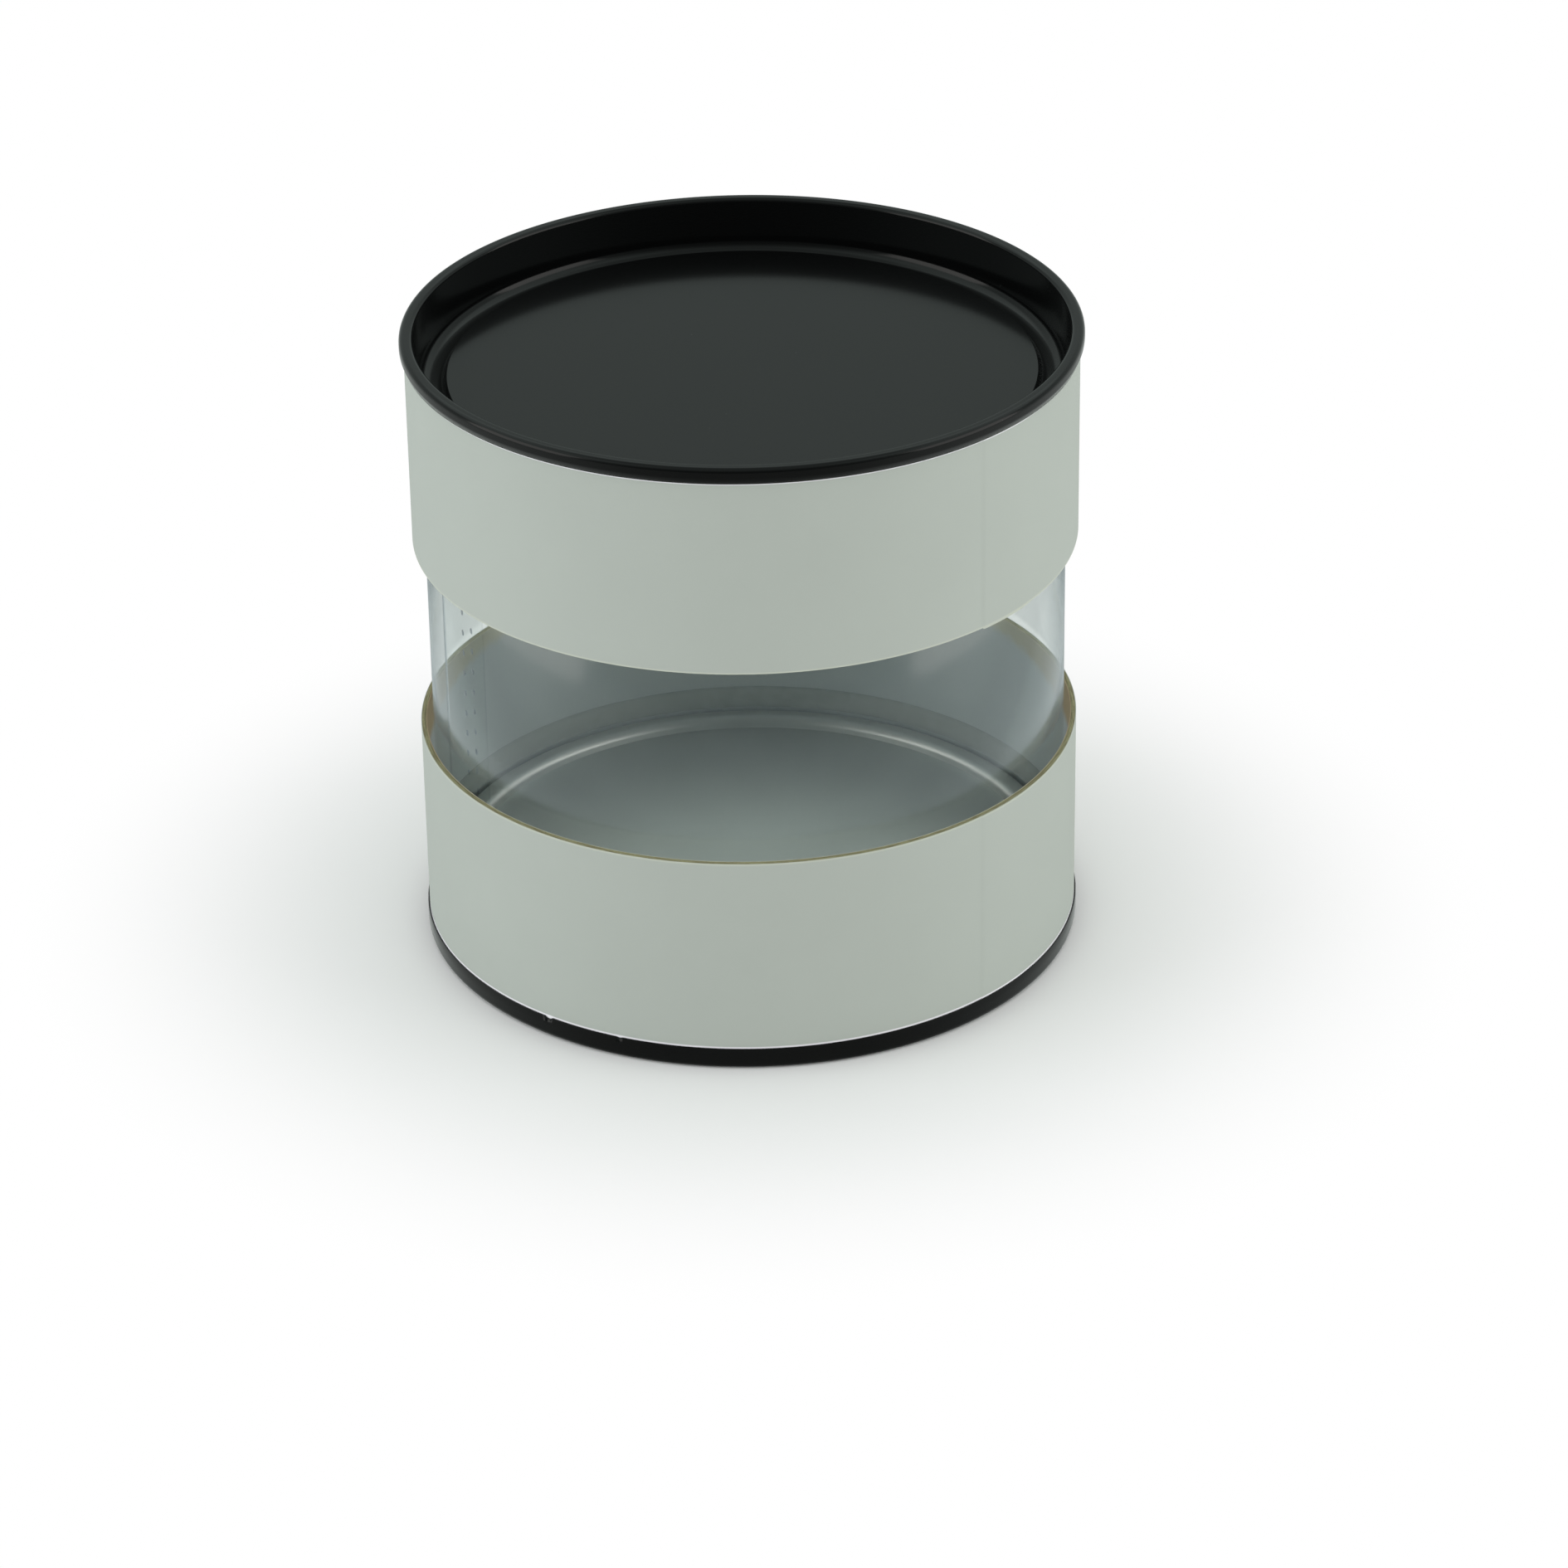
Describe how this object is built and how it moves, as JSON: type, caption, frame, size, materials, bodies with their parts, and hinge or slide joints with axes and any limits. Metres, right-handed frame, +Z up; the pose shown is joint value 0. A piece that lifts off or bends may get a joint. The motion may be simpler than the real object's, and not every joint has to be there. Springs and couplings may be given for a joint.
{
  "type": "windowed tube box",
  "caption": "Round cardboard tube box with a clear rolled window, recessed black metal ends and a lift-off lid.",
  "frame": {"origin": "on the tube's axis, in the plane that the base's seam stands on", "axes": "+Z up along the tube's axis, from the base to the lid; the picture looks along +Y"},
  "size_m": [0.1014, 0.1014, 0.098],
  "materials": {
    "black_metal": "semi-gloss black lacquer",
    "sealing_compound": "dull",
    "pale_paper": "matt",
    "brown_board": "raw cut board",
    "grey_paper": "matt",
    "clear_sheet": "clear gloss film",
    "clear_adhesive": "clear adhesive"
  },
  "bodies": {
    "base": {"base_metal_end": "black_metal", "base_sealing_ring": "sealing_compound", "base_paper_wrap": "pale_paper", "base_board_tube": "brown_board", "base_paper_liner": "grey_paper", "window_sheet": "clear_sheet", "window_glue_band": "clear_adhesive"},
    "lid": {"lid_metal_end": "black_metal", "lid_sealing_ring": "sealing_compound", "lid_paper_wrap": "pale_paper", "lid_board_tube": "brown_board", "lid_paper_liner": "grey_paper"}
  },
  "joints": [
    {"name": "lid_lift", "type": "slide", "parent": "base", "child": "lid", "axis": [0, 0, 1], "range_m": [0, 0.045]}
  ]
}
